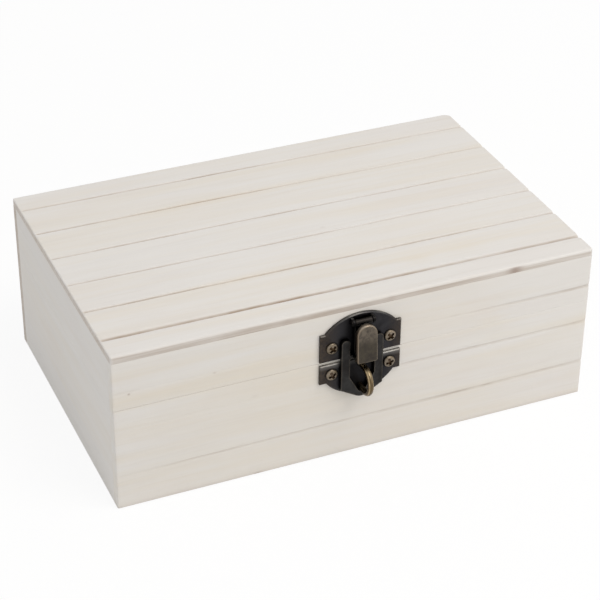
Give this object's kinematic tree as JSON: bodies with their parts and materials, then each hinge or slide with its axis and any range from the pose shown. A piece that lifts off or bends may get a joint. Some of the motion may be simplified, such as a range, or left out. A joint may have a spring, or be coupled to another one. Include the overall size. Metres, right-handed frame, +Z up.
{
  "type": "hinged wooden box",
  "caption": "Low whitewashed wooden box with plank grooves, a lid hinged at the back and a dark bronze hasp clasp that drops over a staple for a small padlock.",
  "frame": {"origin": "middle of the wooden box's underside", "axes": "+X to the right along the front, -Y out of the front with the clasp, +Z up"},
  "size_m": [0.2, 0.1415, 0.069],
  "materials": {
    "whitewashed_wood": "whitewashed, matt, worn brown at raw edges and grooves",
    "plain_wood": "sanded, thin white wash",
    "dark_bronze": "antique bronze, dark, rubbed at the edges",
    "rubbed_bronze": "antique bronze, rubbed brown on the tongue",
    "brass_wire": "dull brass, darkened in the bends",
    "screw_brass": "dull pale brass",
    "hinge_bronze": "antique bronze"
  },
  "bodies": {
    "base": {"base_front_board": "whitewashed_wood", "base_back_board": "whitewashed_wood", "base_left_end": "whitewashed_wood", "base_right_end": "whitewashed_wood", "bottom_panel": "plain_wood", "clasp_lower_plate": "dark_bronze", "staple": "brass_wire", "lower_clasp_screws": "screw_brass", "left_hinge_base_leaf": "hinge_bronze", "right_hinge_base_leaf": "hinge_bronze", "left_hinge_pin": "hinge_bronze", "right_hinge_pin": "hinge_bronze", "hinge_base_screws": "screw_brass"},
    "lid": {"top_panel": "whitewashed_wood", "lid_front_board": "whitewashed_wood", "lid_back_board": "whitewashed_wood", "lid_left_end": "whitewashed_wood", "lid_right_end": "whitewashed_wood", "clasp_upper_plate": "dark_bronze", "upper_clasp_screws": "screw_brass", "clasp_hinge_pin": "dark_bronze", "left_hinge_lid_leaf": "hinge_bronze", "right_hinge_lid_leaf": "hinge_bronze", "hinge_lid_screws": "screw_brass"},
    "hasp": {"hasp": "rubbed_bronze"}
  },
  "joints": [
    {"name": "lid_hinge", "type": "hinge", "parent": "base", "child": "lid", "pos_m": [0, 0.0648, 0.0449], "axis": [-1, 0, 0], "range_deg": [0, 105]},
    {"name": "hasp_hinge", "type": "hinge", "parent": "lid", "child": "hasp", "pos_m": [-0.0008, -0.06575, 0.0618], "axis": [-1, 0, 0], "range_deg": [0, 90]}
  ]
}
